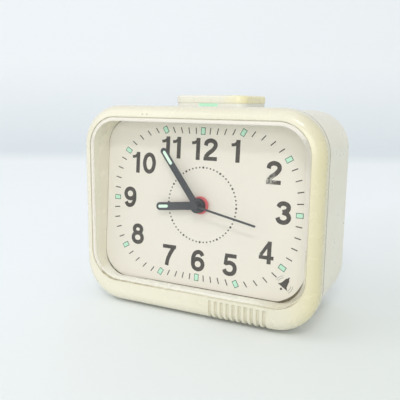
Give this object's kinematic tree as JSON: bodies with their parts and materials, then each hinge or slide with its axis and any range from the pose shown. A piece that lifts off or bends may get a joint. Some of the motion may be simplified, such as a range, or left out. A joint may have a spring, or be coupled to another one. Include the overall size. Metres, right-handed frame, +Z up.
{
  "type": "alarm clock",
  "caption": "Rectangular bedside alarm clock with round-cornered moulded bezel, flat lens, numeral dial with hands, top push button and rear setting knobs.",
  "frame": {"origin": "on the floor, under the middle of the overall box", "axes": "+Z up, +X to the right of someone facing the dial, the dial faces -Y"},
  "size_m": [0.12, 0.0576, 0.1032],
  "materials": {
    "bezel_plastic": "aged cream, glossy",
    "case_plastic": "ivory, satin",
    "clear_plastic": "clear",
    "dial_print": "printed, matt",
    "white_plastic": "satin",
    "cap_plastic": "yellowed",
    "green_plastic": "pale green",
    "hand_paint": "dark grey, satin",
    "red_paint": "red, satin",
    "lume": "luminous compound",
    "black_plastic": "matt",
    "natural_plastic": "satin",
    "steel": "bright",
    "brass": "bright",
    "copper": "enamelled wire",
    "rubber": "matt",
    "cell_label": "plain sleeve",
    "board": "board",
    "magnet": "sintered"
  },
  "bodies": {
    "clock_case": {"front_bezel": "bezel_plastic", "lens": "clear_plastic", "dial_face": "dial_print", "dial_plate": "white_plastic", "rear_case": "case_plastic", "case_screws": "steel", "rubber_feet": "rubber", "battery_cell": "cell_label", "positive_contact": "steel", "negative_contact": "steel", "sounder": "black_plastic", "button_chassis": "white_plastic", "button_spring": "steel", "switch_leaf": "brass", "switch_contact": "brass", "alarm_leaf": "brass", "movement_front_plate": "natural_plastic", "movement_rear_cover": "natural_plastic", "movement_screws": "steel", "stator": "steel", "coil_core": "steel", "coil_bobbin": "black_plastic", "coil_winding": "copper", "circuit_board": "board", "chip": "black_plastic", "quartz_crystal": "steel"},
    "alarm_button": {"alarm_button_cap": "cap_plastic", "alarm_button_stem": "white_plastic", "alarm_flag": "green_plastic"},
    "battery_door": {"battery_door": "case_plastic"},
    "second_hand": {"second_hand": "hand_paint", "seconds_wheel": "natural_plastic"},
    "rotor": {"rotor_pinion": "natural_plastic", "rotor_magnet": "magnet"},
    "intermediate_wheel": {"intermediate_wheel": "natural_plastic"},
    "third_wheel": {"third_wheel": "natural_plastic"},
    "centre_wheel": {"centre_wheel": "brass"},
    "minute_hand": {"minute_hand": "hand_paint", "minute_hand_lume": "lume", "cannon_pinion": "brass"},
    "minute_wheel": {"minute_wheel": "natural_plastic"},
    "hour_hand": {"hour_hand": "hand_paint", "hour_hand_lume": "lume", "hour_wheel": "natural_plastic"},
    "time_setting": {"time_set_gear": "natural_plastic", "time_set_knob": "white_plastic"},
    "alarm_hand": {"alarm_hand": "red_paint", "alarm_wheel": "natural_plastic"},
    "alarm_setting": {"alarm_set_gear": "natural_plastic", "alarm_set_knob": "white_plastic"}
  },
  "joints": [
    {"name": "alarm_button_press", "type": "slide", "parent": "clock_case", "child": "alarm_button", "axis": [0, 0, -1], "range_m": [0, 0.0024], "stiffness_N_per_m": 300, "springref_m": -0.002, "deforming": ["button_spring"]},
    {"name": "battery_door_off", "type": "slide", "parent": "clock_case", "child": "battery_door", "axis": [0, 1, 0], "range_m": [0, 0.03]},
    {"name": "second_hand_turn", "type": "hinge", "parent": "clock_case", "child": "second_hand", "pos_m": [0, -0.00813, 0.05124], "axis": [0, 0.9966, -0.0819], "continuous": true},
    {"name": "rotor_turn", "type": "hinge", "parent": "clock_case", "child": "rotor", "pos_m": [-0.01375, -0.00923, 0.03786], "axis": [0, 0.9966, -0.0819], "continuous": true},
    {"name": "intermediate_wheel_turn", "type": "hinge", "parent": "clock_case", "child": "intermediate_wheel", "pos_m": [-0.00473, -0.00896, 0.04113], "axis": [0, 0.9966, -0.0819], "continuous": true},
    {"name": "third_wheel_turn", "type": "hinge", "parent": "clock_case", "child": "third_wheel", "pos_m": [-0.01081, -0.00813, 0.05124], "axis": [0, 0.9966, -0.0819], "continuous": true},
    {"name": "centre_wheel_turn", "type": "hinge", "parent": "clock_case", "child": "centre_wheel", "pos_m": [0, -0.00813, 0.05124], "axis": [0, 0.9966, -0.0819], "continuous": true},
    {"name": "minute_hand_turn", "type": "hinge", "parent": "clock_case", "child": "minute_hand", "pos_m": [0, -0.00813, 0.05124], "axis": [0, 0.9966, -0.0819], "continuous": true},
    {"name": "minute_wheel_turn", "type": "hinge", "parent": "clock_case", "child": "minute_wheel", "pos_m": [0.01083, -0.00828, 0.04934], "axis": [0, 0.9966, -0.0819], "continuous": true},
    {"name": "hour_hand_turn", "type": "hinge", "parent": "clock_case", "child": "hour_hand", "pos_m": [0, -0.00813, 0.05124], "axis": [0, 0.9966, -0.0819], "continuous": true},
    {"name": "time_knob_turn", "type": "hinge", "parent": "clock_case", "child": "time_setting", "pos_m": [0.00723, -0.00918, 0.03841], "axis": [0, 0.9966, -0.0819], "continuous": true},
    {"name": "alarm_hand_turn", "type": "hinge", "parent": "clock_case", "child": "alarm_hand", "pos_m": [0, -0.00813, 0.05124], "axis": [0, 0.9966, -0.0819], "continuous": true},
    {"name": "alarm_knob_turn", "type": "hinge", "parent": "clock_case", "child": "alarm_setting", "pos_m": [0.00723, -0.00742, 0.05983], "axis": [0, 0.9966, -0.0819], "continuous": true}
  ],
  "couplings": [
    {"joint": "rotor_turn", "follows": "second_hand_turn", "ratio": 30},
    {"joint": "intermediate_wheel_turn", "follows": "second_hand_turn", "ratio": -6},
    {"joint": "third_wheel_turn", "follows": "second_hand_turn", "ratio": -0.13333},
    {"joint": "centre_wheel_turn", "follows": "second_hand_turn", "ratio": 0.016667},
    {"joint": "minute_wheel_turn", "follows": "minute_hand_turn", "ratio": -0.33333},
    {"joint": "hour_hand_turn", "follows": "minute_hand_turn", "ratio": 0.083333},
    {"joint": "time_knob_turn", "follows": "minute_hand_turn", "ratio": 0.83333},
    {"joint": "alarm_knob_turn", "follows": "alarm_hand_turn", "ratio": -2}
  ]
}
